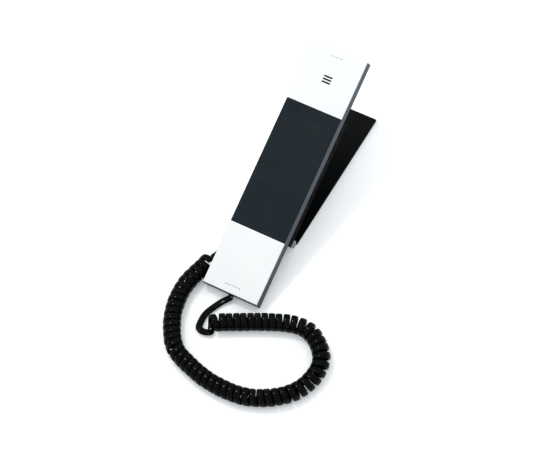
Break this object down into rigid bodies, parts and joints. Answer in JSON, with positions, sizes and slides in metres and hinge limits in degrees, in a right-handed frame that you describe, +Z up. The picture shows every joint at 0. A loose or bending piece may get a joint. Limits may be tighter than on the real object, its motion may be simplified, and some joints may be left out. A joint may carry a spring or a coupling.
{
  "type": "slimline telephone",
  "caption": "Flat handset with white end covers and a black grip, lying on a leaning black cradle with a fold-out wall plate and a curly handset cord.",
  "frame": {"origin": "on the table under the middle of the handset, at the height of the wall plate's rubber feet", "axes": "+Z up, +Y along the level direction from the handset's lower end to its ear end, +X across"},
  "size_m": [0.1539, 0.2919, 0.095],
  "materials": {
    "white_cover": "satin white moulded plastic",
    "grip": "black textured soft-touch grain",
    "band": "dark grey satin plastic",
    "black_plastic": "black satin plastic",
    "inner_cover": "black fine-grained plastic",
    "keys": null,
    "function_keys": "grey function keys",
    "mat": "silicone",
    "board": "green circuit board",
    "sound_part": "metal cased capsule",
    "cloth": "black acoustic cloth",
    "weight": "plain steel ballast",
    "screw": "zinc plated",
    "rubber": "black rubber",
    "plate": "satin black painted steel sheet",
    "hinge_metal": "satin natural aluminium",
    "pin": "ground steel",
    "spring": "spring steel",
    "cord": "glossy black flat curled cord",
    "plug": "clear modular plug"
  },
  "bodies": {
    "cradle": {"cradle_shell": "black_plastic", "hang_tab": "black_plastic", "cradle_back_cover": "black_plastic", "cradle_screws": "screw", "rest_pads": "rubber", "base_board": "board", "base_weight": "weight", "handset_cord_jack": "black_plastic", "line_jack": "black_plastic", "hook_switch": "black_plastic", "hook_leaf_spring": "spring", "hinge_bracket": "hinge_metal", "hinge_screws": "screw", "hinge_pin": "pin", "handset_cord_tail": "cord", "handset_cord_coil_near": "cord", "handset_cord_coil_far": "cord", "base_cord_tail": "cord", "handset_cord_plug": "plug"},
    "wall_plate": {"wall_plate": "plate", "plate_feet": "rubber"},
    "handset": {"handset_side_band": "band", "front_upper_cover": "white_cover", "front_lower_cover": "white_cover", "grip_panel": "grip", "rear_upper_cover": "inner_cover", "rear_lower_cover": "inner_cover", "keypad_panel": "inner_cover", "hook_panel": "inner_cover", "keypad_mat": "mat", "handset_board": "board", "earpiece": "sound_part", "ringer_speaker": "sound_part", "speaker_cloth": "cloth", "microphone": "sound_part", "handset_weights": "weight", "handset_screws": "screw", "cord_grommet": "rubber"},
    "hook_plunger": {"hook_plunger": "black_plastic"},
    "ringer_switch": {"ringer_switch": "black_plastic"},
    "tone_switch": {"tone_switch": "black_plastic"},
    "key_1": {"key_1": "keys"},
    "key_2": {"key_2": "keys"},
    "key_3": {"key_3": "keys"},
    "key_4": {"key_4": "keys"},
    "key_5": {"key_5": "keys"},
    "key_6": {"key_6": "keys"},
    "key_7": {"key_7": "keys"},
    "key_8": {"key_8": "keys"},
    "key_9": {"key_9": "keys"},
    "key_star": {"key_star": "keys"},
    "key_0": {"key_0": "keys"},
    "key_hash": {"key_hash": "keys"},
    "key_flash": {"key_flash": "function_keys"},
    "key_redial": {"key_redial": "function_keys"},
    "key_mute": {"key_mute": "function_keys"}
  },
  "joints": [
    {"name": "plate_fold", "type": "hinge", "parent": "cradle", "child": "wall_plate", "pos_m": [0, -0.03714, 0.00575], "axis": [1, 0, 0], "range_deg": [0, 22.5]},
    {"name": "handset_lift", "type": "slide", "parent": "cradle", "child": "handset", "axis": [0, -0.3827, 0.9239], "range_m": [0, 0.04]},
    {"name": "hook_plunger_rise", "type": "slide", "parent": "cradle", "child": "hook_plunger", "axis": [0, -0.3827, 0.9239], "range_m": [0, 0.003]},
    {"name": "ringer_switch_slide", "type": "slide", "parent": "cradle", "child": "ringer_switch", "axis": [0, 0.9239, 0.3827], "range_m": [0, 0.003]},
    {"name": "tone_switch_slide", "type": "slide", "parent": "cradle", "child": "tone_switch", "axis": [0, 0.9239, 0.3827], "range_m": [0, 0.003]},
    {"name": "key_1_press", "type": "slide", "parent": "handset", "child": "key_1", "axis": [0, -0.3827, 0.9239], "range_m": [0, 0.0006], "stiffness_N_per_m": 500, "springref_m": -0.0003},
    {"name": "key_2_press", "type": "slide", "parent": "handset", "child": "key_2", "axis": [0, -0.3827, 0.9239], "range_m": [0, 0.0006], "stiffness_N_per_m": 500, "springref_m": -0.0003},
    {"name": "key_3_press", "type": "slide", "parent": "handset", "child": "key_3", "axis": [0, -0.3827, 0.9239], "range_m": [0, 0.0006], "stiffness_N_per_m": 500, "springref_m": -0.0003},
    {"name": "key_4_press", "type": "slide", "parent": "handset", "child": "key_4", "axis": [0, -0.3827, 0.9239], "range_m": [0, 0.0006], "stiffness_N_per_m": 500, "springref_m": -0.0003},
    {"name": "key_5_press", "type": "slide", "parent": "handset", "child": "key_5", "axis": [0, -0.3827, 0.9239], "range_m": [0, 0.0006], "stiffness_N_per_m": 500, "springref_m": -0.0003},
    {"name": "key_6_press", "type": "slide", "parent": "handset", "child": "key_6", "axis": [0, -0.3827, 0.9239], "range_m": [0, 0.0006], "stiffness_N_per_m": 500, "springref_m": -0.0003},
    {"name": "key_7_press", "type": "slide", "parent": "handset", "child": "key_7", "axis": [0, -0.3827, 0.9239], "range_m": [0, 0.0006], "stiffness_N_per_m": 500, "springref_m": -0.0003},
    {"name": "key_8_press", "type": "slide", "parent": "handset", "child": "key_8", "axis": [0, -0.3827, 0.9239], "range_m": [0, 0.0006], "stiffness_N_per_m": 500, "springref_m": -0.0003},
    {"name": "key_9_press", "type": "slide", "parent": "handset", "child": "key_9", "axis": [0, -0.3827, 0.9239], "range_m": [0, 0.0006], "stiffness_N_per_m": 500, "springref_m": -0.0003},
    {"name": "key_star_press", "type": "slide", "parent": "handset", "child": "key_star", "axis": [0, -0.3827, 0.9239], "range_m": [0, 0.0006], "stiffness_N_per_m": 500, "springref_m": -0.0003},
    {"name": "key_0_press", "type": "slide", "parent": "handset", "child": "key_0", "axis": [0, -0.3827, 0.9239], "range_m": [0, 0.0006], "stiffness_N_per_m": 500, "springref_m": -0.0003},
    {"name": "key_hash_press", "type": "slide", "parent": "handset", "child": "key_hash", "axis": [0, -0.3827, 0.9239], "range_m": [0, 0.0006], "stiffness_N_per_m": 500, "springref_m": -0.0003},
    {"name": "key_flash_press", "type": "slide", "parent": "handset", "child": "key_flash", "axis": [0, -0.3827, 0.9239], "range_m": [0, 0.0006], "stiffness_N_per_m": 500, "springref_m": -0.0003},
    {"name": "key_redial_press", "type": "slide", "parent": "handset", "child": "key_redial", "axis": [0, -0.3827, 0.9239], "range_m": [0, 0.0006], "stiffness_N_per_m": 500, "springref_m": -0.0003},
    {"name": "key_mute_press", "type": "slide", "parent": "handset", "child": "key_mute", "axis": [0, -0.3827, 0.9239], "range_m": [0, 0.0006], "stiffness_N_per_m": 500, "springref_m": -0.0003}
  ],
  "couplings": [
    {"joint": "hook_plunger_rise", "follows": "handset_lift", "ratio": 0.075}
  ]
}
